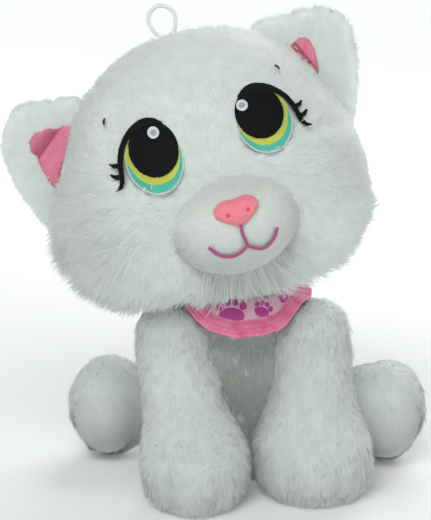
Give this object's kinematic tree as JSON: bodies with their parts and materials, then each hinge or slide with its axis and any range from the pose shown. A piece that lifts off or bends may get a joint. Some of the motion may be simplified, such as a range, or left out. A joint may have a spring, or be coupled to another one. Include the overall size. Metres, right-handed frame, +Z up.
{
  "type": "interactive plush pet",
  "caption": "Seated white plush kitten with embroidered eyes, pink neckerchief, motor-driven head tilt, sound box and paw switch.",
  "frame": {"origin": "on the flat underside of the torso, below the neck axle", "axes": "+Z up, the kitten faces -Y, its left side is at +X"},
  "size_m": [0.2671, 0.2045, 0.2932],
  "materials": {
    "plush": "long white acrylic pile",
    "short_pile": "short white pile",
    "fibre": "polyester fibre fill",
    "nose_flock": "flocked soft nose",
    "velour": "pink velour",
    "embroidery": "satin stitch on backing",
    "bandana_cloth": "printed cotton with a stitched hem",
    "nylon_tape": "translucent nylon tape",
    "white_abs": "moulded, satin",
    "black_abs": "moulded, satin",
    "acetal": "natural acetal gear",
    "steel": "plated",
    "board": "green solder mask",
    "cell": "wrapped dry cell",
    "cone_paper": "pressed paper cone"
  },
  "bodies": {
    "torso": {"torso_skin": "plush", "torso_stuffing": "fibre", "neck_sleeve": "short_pile", "sound_box_body": "white_abs", "sound_box_lid": "white_abs", "lid_screw_1": "steel", "lid_screw_2": "steel", "bracket_screw": "steel", "gearbox_bracket": "white_abs", "neck_axle": "steel", "reduction_axle": "steel", "motor_can": "steel", "battery_1": "cell", "battery_2": "cell", "battery_3": "cell", "battery_contact_left": "steel", "battery_contact_right": "steel", "circuit_board": "board", "sound_chip": "black_abs", "speaker_frame": "steel", "speaker_cone": "cone_paper", "speaker_magnet": "steel", "power_switch": "steel", "bandana": "bandana_cloth"},
    "head": {"head_skin": "plush", "head_stuffing": "fibre", "head_yoke": "acetal", "skull_plate": "white_abs", "yoke_screw": "steel", "muzzle": "short_pile", "nose": "nose_flock", "eye_patch_left": "embroidery", "eye_patch_right": "embroidery", "ear_left": "plush", "ear_right": "plush", "ear_lining_left": "velour", "ear_lining_right": "velour", "hang_loop": "nylon_tape"},
    "reduction": {"reduction_gear": "acetal"},
    "motor_rotor": {"motor_pinion": "steel"},
    "battery_cover": {"battery_door": "white_abs", "battery_door_screw": "steel"},
    "switch_knob": {"power_switch_knob": "black_abs"},
    "front_leg_left": {"front_leg_skin_left": "plush", "front_leg_stuffing_left": "fibre", "front_sole_left": "short_pile", "paw_switch_housing": "black_abs"},
    "paw_button": {"paw_switch_button": "white_abs"},
    "front_leg_right": {"front_leg_skin_right": "plush", "front_leg_stuffing_right": "fibre", "front_sole_right": "short_pile"},
    "hind_leg_left": {"hind_leg_skin_left": "plush", "hind_leg_stuffing_left": "fibre"},
    "hind_leg_right": {"hind_leg_skin_right": "plush", "hind_leg_stuffing_right": "fibre"},
    "tail": {"tail_skin": "plush", "tail_stuffing": "fibre"}
  },
  "joints": [
    {"name": "head_tilt", "type": "hinge", "parent": "torso", "child": "head", "pos_m": [0, 0, 0.126], "axis": [0, 1, 0], "range_deg": [0, 33]},
    {"name": "reduction_spin", "type": "hinge", "parent": "torso", "child": "reduction", "pos_m": [0, 0, 0.0966], "axis": [0, 1, 0], "range_deg": [-159, 1]},
    {"name": "motor_spin", "type": "hinge", "parent": "torso", "child": "motor_rotor", "pos_m": [0, 0, 0.0772], "axis": [0, 1, 0], "range_deg": [-2, 444]},
    {"name": "front_leg_left_swing", "type": "hinge", "parent": "torso", "child": "front_leg_left", "pos_m": [0.042, -0.012, 0.09], "axis": [-1, 0, 0], "range_deg": [0, 45], "stiffness_Nm_per_rad": 0.6},
    {"name": "front_leg_right_swing", "type": "hinge", "parent": "torso", "child": "front_leg_right", "pos_m": [-0.042, -0.012, 0.09], "axis": [-1, 0, 0], "range_deg": [0, 45], "stiffness_Nm_per_rad": 0.6},
    {"name": "hind_leg_left_swing", "type": "hinge", "parent": "torso", "child": "hind_leg_left", "pos_m": [0.0555, 0.026, 0.034], "axis": [0, 0, 1], "range_deg": [-6, 10], "stiffness_Nm_per_rad": 0.6},
    {"name": "hind_leg_right_swing", "type": "hinge", "parent": "torso", "child": "hind_leg_right", "pos_m": [-0.0555, 0.026, 0.034], "axis": [0, 0, -1], "range_deg": [-6, 10], "stiffness_Nm_per_rad": 0.6},
    {"name": "tail_swing", "type": "hinge", "parent": "torso", "child": "tail", "pos_m": [0, 0.0655, 0.022], "axis": [0, 0, 1], "range_deg": [-10, 30], "stiffness_Nm_per_rad": 0.3},
    {"name": "paw_button_press", "type": "slide", "parent": "front_leg_left", "child": "paw_button", "axis": [0, 1, 0], "range_m": [0, 0.0012], "stiffness_N_per_m": 400},
    {"name": "power_switch_slide", "type": "slide", "parent": "torso", "child": "switch_knob", "axis": [0, 1, 0], "range_m": [0, 0.004]},
    {"name": "battery_door_lift", "type": "slide", "parent": "torso", "child": "battery_cover", "axis": [0, 0, -1], "range_m": [0, 0.012]}
  ],
  "couplings": [
    {"joint": "reduction_spin", "follows": "head_tilt", "ratio": -4.8},
    {"joint": "motor_spin", "follows": "head_tilt", "ratio": 13.44}
  ]
}
